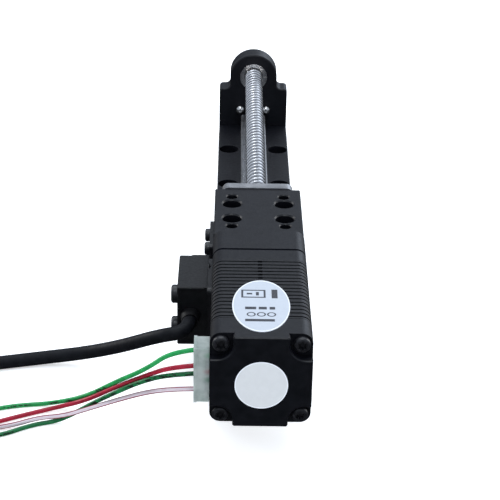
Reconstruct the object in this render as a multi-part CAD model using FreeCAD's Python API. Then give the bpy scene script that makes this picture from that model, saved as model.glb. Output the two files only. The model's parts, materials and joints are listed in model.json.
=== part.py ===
import FreeCAD, Part
import os, math
os.makedirs("parts", exist_ok=True)
V = FreeCAD.Vector

# Compact linear actuator: a hybrid stepper motor whose shaft is the lead screw,
# a table on a miniature guide rail, and a home sensor.  Millimetres, +Z up,
# +Y along the screw from the motor to the far end, z = 0 at the base underside.

# ---------------------------------------------------------------- dimensions
W = 20.0                 # width of motor, mount, base, table and end housing
HW = W / 2
AX = 20.0                # height of the screw axis
BASE_T = 4.7             # base plate thickness
Y_MR = -119.0            # motor rear face
Y_RC = -111.0            # rear cap meets the stator stack
Y_FC = -85.5             # stator stack meets the front cap
Y_MF = -80.3             # motor front face, near end of the base
Y_MT = -70.9             # far face of the motor mount
Y_EH = 56.3              # near face of the end housing
Y_END = 62.3             # far end of the base
CORNER_R = 2.2           # motor and mount corner radius
SCREW_R = 2.5            # lead screw, major radius
PITCH = 2.0              # lead screw pitch
ROOT_R = 1.95            # lead screw, root radius
SHAFT_R = 2.0            # journals
RAIL_W, RAIL_H = 7.0, 4.8
RAIL_Y0, RAIL_Y1 = -70.4, 52.6
BLK_W, BLK_TOP = 17.0, 8.0   # guide block width, its top above the base
TAB_Y0, TAB_Y1 = -68.0, -43.3
TAB_C = (TAB_Y0 + TAB_Y1) / 2
TAB_TOP = 27.7
FL_T, FL_W, FL_Z0, FL_Z1 = 3.0, 16.6, 10.0, 28.0   # nut flange
NUT_CLR = 0.08           # radial running clearance of the nut on the screw
STROKE = 94.0
MS = 7.85                # half the motor screw square
BASE_HOLE_X = 7.0        # base mounting holes, half spacing
BASE_HOLES_Y = (-37.5, -12.5, 12.5, 37.5)
CABLE_D = 3.0            # sensor cable
WIRE_D = 0.95            # motor wires
RAIL_TOP = BASE_T + RAIL_H
BLK_Z1 = BASE_T + BLK_TOP

# ---------------------------------------------------------------- helpers
def box(x0, x1, y0, y1, z0, z1):
    return Part.makeBox(x1 - x0, y1 - y0, z1 - z0, V(x0, y0, z0))

def cyl(r, a, b):
    a = V(*a); b = V(*b); d = b - a
    return Part.makeCylinder(r, d.Length, a, d)

def cylY(r, y0, y1, x=0.0, z=AX):
    return cyl(r, (x, y0, z), (x, y1, z))

def cone(r0, r1, a, b):
    a = V(*a); b = V(*b); d = b - a
    return Part.makeCone(r0, r1, d.Length, a, d)

def ringY(r0, r1, y0, y1, x=0.0, z=AX):
    return cylY(r1, y0, y1, x, z).cut(cylY(r0, y0 - 0.01, y1 + 0.01, x, z))

def rrect(x0, x1, z0, z1, y0, y1, r, corners=(1, 1, 1, 1)):
    """Rounded rectangle in XZ swept along Y; corners in order BL, BR, TR, TL."""
    pts = []
    c = [(x0, z0, 1, 1, corners[0]), (x1, z0, -1, 1, corners[1]), (x1, z1, -1, -1, corners[2]), (x0, z1, 1, -1, corners[3])]
    e = []
    k = math.sqrt(0.5)
    n = []
    for i, (x, z, sx, sz, on) in enumerate(c):
        if on:
            cx, cz = x + sx * r, z + sz * r
            m = V(cx - sx * r * k, y0, cz - sz * r * k)
            if i % 2 == 0:
                a, b = V(x, y0, cz), V(cx, y0, z)
            else:
                a, b = V(cx, y0, z), V(x, y0, cz)
            n.append((a, m, b))
        else:
            n.append((V(x, y0, z), None, V(x, y0, z)))
    for i in range(4):
        a, m, b = n[i]
        if m is not None:
            e.append(Part.Arc(a, m, b).toShape())
        nx = n[(i + 1) % 4][0]
        e.append(Part.LineSegment(b, nx).toShape())
    return Part.Face(Part.Wire(e)).extrude(V(0, y1 - y0, 0))

def cut(s, *tools):
    for t in tools:
        s = s.cut(t)
    return s

def fuse(s, *more):
    for t in more:
        s = s.fuse(t)
    return s.removeSplitter()

def comp(lst):
    return Part.makeCompound([x for s in lst for x in s.Solids])

def chamfer_edges(s, test, d):
    es = [e for e in s.Edges if test(e)]
    try:
        t = s.makeChamfer(d, es)
        return t if t.isValid() and t.Solids else s
    except Exception:
        return s

def fillet_edges(s, test, d):
    es = [e for e in s.Edges if test(e)]
    try:
        t = s.makeFillet(d, es)
        return t if t.isValid() and t.Solids else s
    except Exception:
        return s

def on_box(e, s, axes="xyz"):
    """True for an edge that lies along the outline of the shape's box, on two of its planes."""
    bb, c = s.BoundBox, e.BoundBox
    hits = 0
    for lo, hi, a, b in ((bb.XMin, bb.XMax, c.XMin, c.XMax), (bb.YMin, bb.YMax, c.YMin, c.YMax), (bb.ZMin, bb.ZMax, c.ZMin, c.ZMax)):
        if (abs(a - lo) < 1e-5 and abs(b - lo) < 1e-5) or (abs(a - hi) < 1e-5 and abs(b - hi) < 1e-5):
            hits += 1
    return hits >= 2

def in_plane_y(e, y):
    return abs(e.BoundBox.YMin - y) < 1e-5 and abs(e.BoundBox.YMax - y) < 1e-5

def chamfer_report(name, s, test, d):
    """Chamfer the edges that pass the test, and say whether it took."""
    t = chamfer_edges(s, test, d)
    print("edge break", name, "done" if t is not s else "NOT DONE", "volume", round(s.Volume, 2), round(t.Volume, 2))
    return t

def hexprism(af, a, b):
    """Hexagonal prism across flats af from a to b (along X, Y or Z)."""
    a = V(*a); b = V(*b); d = (b - a); L = d.Length; d.normalize()
    u = V(0, 0, 1) if abs(d.z) < 0.5 else V(1, 0, 0)
    w = d.cross(u)
    R = af / 2 / math.cos(math.pi / 6)
    p = [a + u * (R * math.cos(math.pi / 3 * i)) + w * (R * math.sin(math.pi / 3 * i)) for i in range(6)]
    return Part.Face(Part.makePolygon(p + [p[0]])).extrude(d * L)

def socket_screw(head, tip, d, hd, hh, af):
    """Socket head screw: head = centre of the underside of the head, tip = end of the shank."""
    h = V(*head); t = V(*tip); n = (h - t); n.normalize()
    s = Part.makeCylinder(hd / 2, hh, h, n)
    s = chamfer_edges(s, lambda e: e.Curve.TypeId == 'Part::GeomCircle' and (e.CenterOfMass - h).dot(n) > hh * 0.9, 0.15)
    s = s.fuse(Part.makeCylinder(d / 2 - 0.01, (t - h).Length, t, n)).removeSplitter()
    top = h + n * hh
    bot = h + n * (hh * 0.45)
    return s.cut(hexprism(af, tuple(bot), tuple(top + n * 0.1)))

def pan_screw(head, tip, d, hd, hh, slot):
    """Pan head screw with a cross recess."""
    h = V(*head); t = V(*tip); n = (h - t); n.normalize()
    s = Part.makeCylinder(hd / 2, hh, h, n)
    s = fillet_edges(s, lambda e: e.Curve.TypeId == 'Part::GeomCircle' and (e.CenterOfMass - h).dot(n) > hh * 0.9, hh * 0.45)
    s = s.fuse(Part.makeCylinder(d / 2 - 0.01, (t - h).Length, t, n)).removeSplitter()
    u = V(0, 0, 1) if abs(n.z) < 0.5 else V(1, 0, 0)
    w = n.cross(u)
    for a, b in ((u, w), (w, u)):
        c = h + n * (hh * 0.45)
        p = [c + a * sa * slot / 2 + b * sb * slot * 0.14 for sa, sb in ((-1, -1), (1, -1), (1, 1), (-1, 1))]
        s = s.cut(Part.Face(Part.makePolygon(p + [p[0]])).extrude(n * hh))
    return s

def lobe_screw(head, tip, d, hd, hh, across):
    """Domed head screw with a six-lobed recess."""
    h = V(*head); t = V(*tip); n = (h - t); n.normalize()
    s = Part.makeCylinder(hd / 2, hh, h, n)
    s = fillet_edges(s, lambda e: e.Curve.TypeId == 'Part::GeomCircle' and (e.CenterOfMass - h).dot(n) > hh * 0.9, hh * 0.5)
    s = s.fuse(Part.makeCylinder(d / 2 - 0.01, (t - h).Length, t, n)).removeSplitter()
    u = V(0, 0, 1) if abs(n.z) < 0.5 else V(1, 0, 0)
    w = n.cross(u)
    c = h + n * (hh * 0.35)
    p = []
    for i in range(60):
        a = 2 * math.pi * i / 60
        r = across / 2 * (0.86 + 0.14 * math.cos(6 * a))
        p.append(c + u * (r * math.cos(a)) + w * (r * math.sin(a)))
    return s.cut(Part.Face(Part.makePolygon(p + [p[0]])).extrude(n * hh))

def csk_screw(face, tip, d, hd):
    """Countersunk screw; face = centre of the head's flat face."""
    f = V(*face); t = V(*tip); n = (f - t); L = n.Length; n.normalize()
    hh = (hd - d) / 2
    s = Part.makeCylinder(hd / 2, 0.15, f - n * 0.15, n).fuse(Part.makeCone(d / 2 - 0.01, hd / 2, hh, f - n * (0.15 + hh), n))
    s = s.fuse(Part.makeCylinder(d / 2 - 0.01, L - 0.15 - hh, t, n)).removeSplitter()
    return s.cut(hexprism(d * 0.62, tuple(f - n * 0.55), tuple(f + n * 0.1)))

def csk_hole(face, tip, d, hd):
    f = V(*face); t = V(*tip); n = (f - t); L = n.Length; n.normalize()
    hh = (hd - d) / 2
    s = Part.makeCylinder(hd / 2 + 0.02, 0.16, f - n * 0.16, n).fuse(Part.makeCone(d / 2, hd / 2 + 0.02, hh, f - n * (0.16 + hh), n))
    return s.fuse(Part.makeCylinder(d / 2, L, t, n))

NODES = {}
def out(name, shape):
    NODES[name] = shape

# ---------------------------------------------------------------- base plate
base = box(-HW, HW, Y_MF, Y_END, 0, BASE_T)
base = chamfer_report("base", base, lambda e: on_box(e, base), 0.25)
for y in BASE_HOLES_Y:
    for sx in (-1, 1):
        x = sx * BASE_HOLE_X
        base = cut(base, cyl(1.7, (x, y, -1), (x, y, BASE_T + 1)), cyl(2.75, (x, y, BASE_T - 3.0), (x, y, BASE_T + 1)))
RAIL_HOLES_Y = [RAIL_Y0 + 9.0 + 15.0 * i for i in range(8)]
for y in RAIL_HOLES_Y:
    base = base.cut(cyl(1.0, (0, y, 0.8), (0, y, BASE_T + 1)))
MT_Y = (Y_MF + Y_MT) / 2
EH_Y = (Y_EH + Y_END) / 2
BASE_SCREWS = [(5.5 * s, y) for y in (MT_Y, EH_Y) for s in (-1, 1)]
for x, y in BASE_SCREWS:
    base = cut(base, cyl(1.27, (x, y, -1), (x, y, BASE_T + 1)), cyl(2.4, (x, y, -1), (x, y, 2.6)))
out("base_plate", base)
out("base_screws", comp([socket_screw((x, y, 2.6), (x, y, 8.8), 2.5, 4.5, 2.4, 2.0) for x, y in BASE_SCREWS]))

# ---------------------------------------------------------------- motor mount
mount = rrect(-HW, HW, BASE_T, 30.0, Y_MF, Y_MT, CORNER_R, (0, 0, 1, 1))
mount = chamfer_report("mount near", mount, lambda e: in_plane_y(e, Y_MF) and e.CenterOfMass.z > BASE_T + 0.1, 0.35)
mount = chamfer_report("mount far", mount, lambda e: in_plane_y(e, Y_MT) and e.CenterOfMass.z > BASE_T + 0.1, 0.2)
mount = cut(mount, cylY(7.55, Y_MF - 1, Y_MF + 1.5), cylY(4.5, Y_MF - 1, Y_MT + 1))
for sx in (-1, 1):
    for sz in (-1, 1):
        x, z = sx * MS, AX + sz * MS
        mount = cut(mount, cylY(1.05, Y_MF - 1, Y_MT + 1, x, z), cylY(2.0, Y_MT - 2.1, Y_MT + 1, x, z))
for x, y in BASE_SCREWS[:2]:
    mount = mount.cut(cyl(1.25, (x, y, BASE_T - 1), (x, y, 9.2)))
BRK_SCREWS = [(-75.6, 16.0), (-75.6, 22.4)]
for y, z in BRK_SCREWS:
    mount = mount.cut(cyl(0.8, (-HW - 1, y, z), (-6.9, y, z)))
out("motor_mount", mount)
out("motor_screws", comp([socket_screw((sx * MS, Y_MT - 2.1, AX + sz * MS), (sx * MS, Y_MF - 2.9, AX + sz * MS), 2.0, 3.8, 2.0, 1.5) for sx in (-1, 1) for sz in (-1, 1)]))

# ---------------------------------------------------------------- end housing
SH_Z = AX - 3.65         # shoulder height
ARC_R = 6.85
eh = box(-HW, HW, Y_EH, Y_END, BASE_T, SH_Z)
eh = fillet_edges(eh, lambda e: abs(e.CenterOfMass.z - SH_Z) < 1e-6 and abs(abs(e.CenterOfMass.x) - HW) < 1e-6, 1.0)
eh = fuse(eh, box(-ARC_R, ARC_R, Y_EH, Y_END, SH_Z - 1.0, AX), cylY(ARC_R, Y_EH, Y_END))
eh = fillet_edges(eh, lambda e: abs(e.CenterOfMass.z - SH_Z) < 1e-5 and abs(abs(e.CenterOfMass.x) - ARC_R) < 1e-5 and abs(e.Length - (Y_END - Y_EH)) < 1e-5, 1.4)
print("end housing after inner fillets", round(eh.Volume, 2), eh.isValid(), len(eh.Solids))
eh = chamfer_report("end housing", eh, lambda e: (in_plane_y(e, Y_EH) or in_plane_y(e, Y_END)) and e.CenterOfMass.z > BASE_T + 0.1, 0.25)
eh = cut(eh, cylY(4.0, Y_EH - 1, Y_EH + 3.1), cylY(3.2, Y_EH - 1, Y_END + 1))
PIN_X, PIN_Z = 3.8, 10.15
for sx in (-1, 1):
    eh = eh.cut(cylY(0.8, Y_EH - 1, Y_EH + 4.2, sx * PIN_X, PIN_Z))
for x, y in BASE_SCREWS[2:]:
    eh = eh.cut(cyl(1.25, (x, y, BASE_T - 1), (x, y, 9.2)))
out("end_housing", eh)

# ---------------------------------------------------------------- stop pins
pins = []
for sx in (-1, 1):
    x = sx * PIN_X
    p = cylY(1.3, 55.0, Y_EH, x, PIN_Z)
    dome = Part.makeSphere(1.35, V(x, 55.35, PIN_Z)).common(cylY(1.3, 53.5, 55.0, x, PIN_Z))
    p = fuse(p, dome, cylY(0.79, Y_EH - 0.1, Y_EH + 4.0, x, PIN_Z))
    p = p.cut(hexprism(0.9, (x, 53.4, PIN_Z), (x, 54.7, PIN_Z)))
    pins.append(p)
out("stop_pins", comp(pins))

# ---------------------------------------------------------------- guide rail
rail = box(-RAIL_W / 2, RAIL_W / 2, RAIL_Y0, RAIL_Y1, BASE_T, RAIL_TOP)
rail = chamfer_edges(rail, lambda e: abs(e.CenterOfMass.z - RAIL_TOP) < 1e-6 and e.Length > 50, 0.3)
BALL_X, BALL_Z, GR = 3.85, BASE_T + 3.2, 0.8
for sx in (-1, 1):
    rail = rail.cut(cylY(GR, RAIL_Y0 - 1, RAIL_Y1 + 1, sx * BALL_X, BALL_Z))
for y in RAIL_HOLES_Y:
    rail = cut(rail, cyl(1.2, (0, y, BASE_T - 1), (0, y, RAIL_TOP + 1)), cyl(2.1, (0, y, RAIL_TOP - 2.3), (0, y, RAIL_TOP + 1)))
out("guide_rail", rail)
out("rail_screws", comp([socket_screw((0, y, RAIL_TOP - 2.3), (0, y, 1.2), 2.0, 3.8, 2.0, 1.5) for y in RAIL_HOLES_Y]))

# ---------------------------------------------------------------- stepper motor
def bearing(y0):
    """Shielded miniature ball bearing, bore 4, outside 8, width 3, centred on the axis."""
    ym = y0 + 1.5
    tor = Part.makeTorus(3.0, 0.66, V(0, ym, AX), V(0, 1, 0))
    outer = ringY(3.35, 3.98, y0, y0 + 3.0).cut(tor)
    for a, b in ((y0 - 0.01, y0 + 0.25), (y0 + 2.75, y0 + 3.01)):
        outer = outer.cut(ringY(3.3, 3.5, a, b))
    inner = ringY(SHAFT_R + 0.01, 2.65, y0, y0 + 3.0).cut(tor)
    shields = [ringY(2.75, 3.49, y0 + 0.05, y0 + 0.24), ringY(2.75, 3.49, y0 + 2.76, y0 + 2.95)]
    balls = [Part.makeSphere(0.6, V(3.0 * math.cos(2 * math.pi * i / 7 + 0.2), ym, AX + 3.0 * math.sin(2 * math.pi * i / 7 + 0.2))) for i in range(7)]
    return outer, inner, shields, balls

Y_RB, Y_FB, Y_EB = -114.7, -84.9, Y_EH + 0.1
BR = [bearing(Y_RB), bearing(Y_FB), bearing(Y_EB)]
out("bearing_outer_rings", comp([b[0] for b in BR]))
out("bearing_inner_rings", comp([b[1] for b in BR]))
out("bearing_shields", comp([x for b in BR for x in b[2]]))
out("bearing_balls", comp([x for b in BR for x in b[3]]))
out("wave_washer", ringY(2.9, 3.9, Y_RB - 0.4, Y_RB))

# front cap, with its locating boss
fc = rrect(-HW, HW, AX - HW, AX + HW, Y_FC, Y_MF, CORNER_R)
fc = chamfer_report("front cap", fc, lambda e: in_plane_y(e, Y_MF), 0.35)
fc = chamfer_report("front cap, stack side", fc, lambda e: in_plane_y(e, Y_FC), 0.12)
fc = fuse(fc, cylY(7.5, Y_MF - 0.1, Y_MF + 1.4))
fc = cut(fc, cylY(3.99, Y_FC - 1, Y_FB + 3.0), cylY(3.0, Y_FC - 1, Y_MF + 2), ringY(5.3, 8.3, Y_FC - 0.1, Y_FC + 1.9))
for sx in (-1, 1):
    for sz in (-1, 1):
        x, z = sx * MS, AX + sz * MS
        fc = cut(fc, cylY(1.0, Y_MF - 3.1, Y_MF + 1, x, z), cylY(0.95, Y_FC - 1, Y_FC + 1.95, x, z))
out("motor_front_cap", fc)

# stator stack: ribbed outside, eight wound poles inside
N_RIB = 17
RIB = (Y_FC - Y_RC) / N_RIB
st = rrect(-HW, HW, AX - HW, AX + HW, Y_RC, Y_FC, CORNER_R)
bands = []
for i in range(N_RIB):
    y = Y_RC + RIB * (i + 0.5)
    g = box(-HW - 1, HW + 1, y - 0.22, y + 0.22, AX - HW - 1, AX + HW + 1).cut(rrect(-HW + 0.2, HW - 0.2, AX - HW + 0.2, AX + HW - 0.2, y - 1, y + 1, CORNER_R - 0.2))
    bands.append(g)
    for s in (-1, 1):
        bands.append(box(-0.45, 0.45, y - 0.42, y + 0.42, AX + s * HW - 0.7, AX + s * HW + 0.7))
        bands.append(box(s * HW - 0.7, s * HW + 0.7, y - 0.42, y + 0.42, AX - 0.45, AX + 0.45))
st = st.cut(Part.makeCompound(bands))
poles = []
for i in range(8):
    b = box(-1.0, 1.0, Y_RC, Y_FC, AX + 5.5, AX + 8.3)
    shoe = ringY(5.3, 5.95, Y_RC, Y_FC).common(box(-1.6, 1.6, Y_RC, Y_FC, AX + 4, AX + 7))
    p = fuse(b, shoe).common(ringY(5.3, 8.3, Y_RC, Y_FC))
    p.rotate(V(0, 0, AX), V(0, 1, 0), 45 * i)
    poles.append(p)
st = st.cut(cylY(8.1, Y_RC - 1, Y_FC + 1))
st = st.multiFuse(poles).removeSplitter()
for sx in (-1, 1):
    for sz in (-1, 1):
        st = st.cut(cylY(1.05, Y_RC - 1, Y_FC + 1, sx * MS, AX + sz * MS))
out("stator_stack", st)
ins = []
for ya, yb in ((Y_RC - 0.5, Y_RC), (Y_FC, Y_FC + 0.5)):
    r = ringY(7.8, 8.25, ya, yb)
    pads = []
    for i in range(8):
        b = box(-1.0, 1.0, ya, yb, AX + 6.1, AX + 7.95)
        b.rotate(V(0, 0, AX), V(0, 1, 0), 45 * i)
        pads.append(b)
    ins.append(r.multiFuse(pads).removeSplitter())
out("stator_insulators", comp(ins))
coils = []
for i in range(8):
    c = box(-2.1, 2.1, Y_RC - 1.25, Y_FC + 1.25, AX + 6.15, AX + 7.45).cut(box(-1.02, 1.02, Y_RC - 0.5, Y_FC + 0.5, AX + 5, AX + 9))
    c = fillet_edges(c, lambda e: abs(abs(e.CenterOfMass.x) - 2.1) < 1e-6 and abs(e.CenterOfMass.z - AX - 6.8) < 0.01, 0.8)
    c.rotate(V(0, 0, AX), V(0, 1, 0), 45 * i)
    coils.append(c)
out("stator_windings", comp(coils))

# rotor: two toothed cups with a magnet between them
def cup(y0, y1, off):
    c = ringY(SHAFT_R + 0.005, 5.0, y0, y1)
    ts = []
    for i in range(25):
        b = box(-0.2, 0.2, y0 - 1, y1 + 1, AX + 4.65, AX + 6)
        b.rotate(V(0, 0, AX), V(0, 1, 0), 360.0 / 25 * i + off)
        ts.append(b)
    return c.cut(Part.makeCompound(ts))
out("rotor_cups", comp([cup(-109.3, -99.1, 0), cup(-97.3, -87.1, 7.2)]))
out("rotor_magnet", ringY(SHAFT_R + 0.005, 4.6, -99.1, -97.3))

# rear cap: recessed corners for the screw heads, socket opening in the left side
rc = rrect(-HW, HW, AX - HW, AX + HW, Y_MR, Y_RC, CORNER_R)
rc = chamfer_report("rear cap, stack side", rc, lambda e: in_plane_y(e, Y_RC), 0.12)
PKT = 1.9                # depth of the corner pockets
PKT_R = 3.2              # their corner radius
for sx in (-1, 1):
    for sz, h in ((1, 5.0), (-1, 4.5)):
        x0, x1 = sorted((sx * 5.45, sx * 20))
        z0, z1 = sorted((AX + sz * (HW - h), AX + sz * 20))
        p = rrect(x0, x1, z0, z1, Y_MR - 1, Y_MR + PKT, PKT_R)
        rc = rc.cut(p)
rc = chamfer_report("arm", rc, lambda e: abs(abs(e.CenterOfMass.x) - 5.45) < 1e-5 and abs(abs(e.CenterOfMass.z - AX) - HW) < 1e-5 and abs(e.Length - PKT) < 1e-5, 0.3)
rc = chamfer_report("rear face", rc, lambda e: in_plane_y(e, Y_MR), 0.22)
rc = cut(rc, ringY(5.3, 8.3, Y_RC - 2.6, Y_RC + 0.1), cylY(3.99, Y_RB - 0.4, Y_RC + 1), cylY(2.9, Y_RB - 1.6, Y_RC + 1))
SK_Y0, SK_Y1, SK_Z0, SK_Z1 = -116.8, -112.4, 14.7, 26.2
rc = rc.cut(box(-HW - 1, -5.9, SK_Y0, SK_Y1, SK_Z0, SK_Z1))
for sx in (-1, 1):
    for sz in (-1, 1):
        rc = rc.cut(cylY(1.05, Y_MR - 1, Y_RC + 1, sx * MS, AX + sz * MS))
out("motor_rear_cap", rc)
out("rear_cap_screws", comp([lobe_screw((sx * MS, Y_MR + PKT, AX + sz * MS), (sx * MS, Y_FC + 1.85, AX + sz * MS), 1.9, 3.3, 1.2, 1.9) for sx in (-1, 1) for sz in (-1, 1)]))

# labels
out("rear_label", cylY(5.2, Y_MR - 0.12, Y_MR, 0.1, AX - 0.5))
ell = Part.Ellipse(V(0, -106.0, 30.0), 10.8, 5.75)
e = ell.toShape(0, 2 * math.pi)
f = Part.Face(Part.Wire([e]))
f.rotate(V(0, -106.0, 30.0), V(0, 0, 1), 90)
out("top_label", f.extrude(V(0, 0, 0.15)))

# socket in the rear cap and the plug in it
sk = box(-HW, -5.9, SK_Y0, SK_Y1, SK_Z0, SK_Z1).cut(box(-HW - 1, -7.0, SK_Y0 + 0.3, SK_Y1 - 0.3, SK_Z0 + 0.3, SK_Z1 - 0.3))
WAYS = [24.95 - 1.8 * i for i in range(6)]
PY = (SK_Y0 + SK_Y1) / 2
for z in WAYS:
    sk = sk.cut(box(-8, -5, PY - 0.2, PY + 0.2, z - 0.2, z + 0.2))
out("socket_housing", sk)
out("socket_pins", comp([box(-9.7, -5.92, PY - 0.2, PY + 0.2, z - 0.2, z + 0.2) for z in WAYS]))
pl = box(-12.5, -HW - 0.05, -117.3, -112.1, 14.55, 26.35)
fl = box(-13.1, -12.5, -117.5, -111.9, 14.3, 26.6)
tg = box(-HW - 0.05, -7.2, SK_Y0 + 0.36, SK_Y1 - 0.36, SK_Z0 + 0.36, SK_Z1 - 0.36)
pl = fuse(pl, fl, tg)
for z in WAYS:
    pl = pl.cut(box(-14, -7, PY - 0.55, PY + 0.55, z - 0.55, z + 0.55))
pl = chamfer_report("plug", pl, lambda e: abs(e.CenterOfMass.x + 12.8) < 1e-5 and abs(e.Length - 0.6) < 1e-5, 0.3)
out("plug_housing", pl)
USED = (0, 2, 3, 5)
out("plug_terminals", comp([box(-10.5, -7.4, PY - 0.5, PY + 0.5, WAYS[i] - 0.5, WAYS[i] + 0.5).cut(box(-10.4, -7, PY - 0.24, PY + 0.24, WAYS[i] - 0.24, WAYS[i] + 0.24)) for i in USED]))

# ---------------------------------------------------------------- lead screw
TURNS = 3                # turns in one segment of the groove
def thread_tool():
    """Groove between the threads: trapezoid section swept on a short helix about Z."""
    h = Part.makeLongHelix(PITCH, PITCH * TURNS, SCREW_R)
    top, bot = 0.62, 0.36
    ro, ri = SCREW_R + 0.15, ROOT_R
    p = [V(ri, 0, -bot), V(ro, 0, -top), V(ro, 0, top), V(ri, 0, bot)]
    return Part.Wire(h.Edges).makePipeShell([Part.makePolygon(p + [p[0]])], True, True)

scr = cylY(SHAFT_R, -115.6, 61.5)
scr = scr.cut(ringY(1.7, 2.6, 59.7, 60.25))
thr = cylY(SCREW_R, -78.4, 56.1)
plain = thr.Volume
tool = thread_tool()
tool.rotate(V(0, 0, 0), V(1, 0, 0), -90)
for i in range(int(math.ceil((56.1 + 81.4) / (PITCH * TURNS)))):
    t = tool.copy()
    t.translate(V(0, -81.4 + PITCH * TURNS * i, AX))
    thr = thr.cut(t)
print("thread: valid", thr.isValid(), "solids", len(thr.Solids), "volume ratio", round(thr.Volume / plain, 3))
out("lead_screw", scr.fuse(thr))
clip = ringY(1.72, 2.9, 59.75, 60.2).cut(box(-1.3, 1.3, 59, 61, AX - 4, AX))
out("retaining_clip", clip)

# ---------------------------------------------------------------- table and guide block
tab = box(-HW, HW, TAB_Y0, TAB_Y1, BLK_Z1, TAB_TOP)
tab = chamfer_report("table", tab, lambda e: on_box(e, tab), 0.25)
NUT_R, NUT_Y0 = 5.0, -49.2
tab = cut(tab, cylY(3.0, TAB_Y0 - 1, TAB_Y1 + 1), cylY(NUT_R + 0.02, NUT_Y0, TAB_Y1 + 1))
for sx in (-1, 1):
    for sy in (-1, 1):
        x, y = sx * 6.0, TAB_C + sy * 4.0
        tab = cut(tab, cyl(1.1, (x, y, BLK_Z1 - 1), (x, y, TAB_TOP)), cyl(2.15, (x, y, 16.0), (x, y, TAB_TOP + 1)), cone(2.15, 2.45, (x, y, TAB_TOP - 0.3), (x, y, TAB_TOP + 0.001)))
        y = TAB_C + sy * 8.0
        tab = cut(tab, cyl(1.25, (x, y, 22.3), (x, y, TAB_TOP + 1)), cone(1.25, 1.5, (x, y, TAB_TOP - 0.25), (x, y, TAB_TOP + 0.001)))
FLAG_Y = (-59.7, -52.6)
for y in FLAG_Y:
    tab = tab.cut(cyl(0.75, (-HW - 1, y, 20.0), (-8.35, y, 20.0)))
NS = [(sx * 6.1, AX + sz) for sx in (-1, 1) for sz in (-5.9, 5.9)]
for x, z in NS:
    tab = tab.cut(cylY(0.9, -46.15, TAB_Y1 + 1, x, z))
out("table", tab)
out("table_screws", comp([socket_screw((sx * 6.0, TAB_C + sy * 4.0, 16.0), (sx * 6.0, TAB_C + sy * 4.0, BLK_Z1 - 2.3), 2.0, 3.8, 2.0, 1.5) for sx in (-1, 1) for sy in (-1, 1)]))

def channel(y0, y1, half, top):
    return box(-half, half, y0, y1, 0, top)
gb = box(-BLK_W / 2, BLK_W / 2, TAB_C - 6.75, TAB_C + 6.75, BASE_T + 1.5, BLK_Z1)
gb = chamfer_edges(gb, lambda e: abs(abs(e.CenterOfMass.x) - BLK_W / 2) < 1e-6 and e.Length > 10, 0.4)
gb = cut(gb, channel(TAB_C - 8, TAB_C + 8, 3.8, RAIL_TOP + 0.4))
for sx in (-1, 1):
    gb = gb.cut(cylY(GR, TAB_C - 8, TAB_C + 8, sx * BALL_X, BALL_Z))
    gb = gb.cut(cylY(0.85, TAB_C - 8, TAB_C + 8, sx * 6.3, BALL_Z))
    for sy in (-1, 1):
        gb = gb.cut(cyl(1.0, (sx * 6.0, TAB_C + sy * 4.0, BLK_Z1 - 2.6), (sx * 6.0, TAB_C + sy * 4.0, BLK_Z1 + 1)))
out("guide_block", gb)
caps, seals = [], []
for s in (-1, 1):
    a, b = sorted((TAB_C + s * 6.75, TAB_C + s * 10.6))
    c = rrect(-8.2, 8.2, BASE_T + 1.5, BLK_Z1 - 0.3, a, b, 0.8).cut(channel(a - 1, b + 1, 3.85, RAIL_TOP + 0.4))
    for sx in (-1, 1):
        turn = Part.makeTorus((6.3 - BALL_X) / 2, 0.8, V(sx * (6.3 + BALL_X) / 2, TAB_C + s * 6.75, BALL_Z), V(0, 0, 1))
        c = c.cut(turn)
    caps.append(c)
    a, b = sorted((TAB_C + s * 10.6, TAB_C + s * 11.2))
    seals.append(rrect(-8.0, 8.0, BASE_T + 1.6, BLK_Z1 - 0.5, a, b, 0.8).cut(channel(a - 1, b + 1, 3.8, RAIL_TOP + 0.35)))
out("block_end_caps", comp(caps))
out("block_seals", comp(seals))
balls = []
for sx in (-1, 1):
    for i in range(8):
        balls.append(Part.makeSphere(0.74, V(sx * BALL_X, TAB_C - 5.6 + 1.6 * i, BALL_Z)))
        balls.append(Part.makeSphere(0.74, V(sx * 6.3, TAB_C - 5.6 + 1.6 * i, BALL_Z)))
out("guide_balls", comp(balls))

# nut with its square flange
nut = rrect(-FL_W / 2, FL_W / 2, FL_Z0, FL_Z1, TAB_Y1, TAB_Y1 + FL_T, 1.5)
nut = chamfer_report("flange", nut, lambda e: in_plane_y(e, TAB_Y1 + FL_T), 0.25)
nut = fuse(nut, cylY(NUT_R, NUT_Y0 + 0.1, TAB_Y1 + 0.1))
nut = nut.cut(cylY(SCREW_R + NUT_CLR, -60, -30))
for x, z in NS:
    nut = nut.cut(csk_hole((x, TAB_Y1 + FL_T, z), (x, TAB_Y1 - 1, z), 1.8, 3.6))
out("screw_nut", nut)
out("nut_screws", comp([csk_screw((x, TAB_Y1 + FL_T - 0.02, z), (x, -45.95, z), 1.8, 3.6) for x, z in NS]))

# flag on the left side of the table
fp = box(-11.0, -HW, -62.4, -48.7, 13.8, 22.0)
fp = fillet_edges(fp, lambda e: abs(e.CenterOfMass.x + 10.5) < 1e-6, 0.8)
fp = fuse(fp, box(-15.0, -10.9, -62.4, -58.0, 16.7, 17.5), box(-15.0, -11.7, -75.5, -62.3, 16.7, 17.5))
for y in FLAG_Y:
    fp = fp.cut(cyl(0.8, (-12, y, 20.0), (-9, y, 20.0)))
out("sensor_flag", fp)
out("flag_screws", comp([pan_screw((-11.0, y, 20.0), (-8.4, y, 20.0), 1.5, 3.0, 1.15, 1.6) for y in FLAG_Y]))

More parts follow.
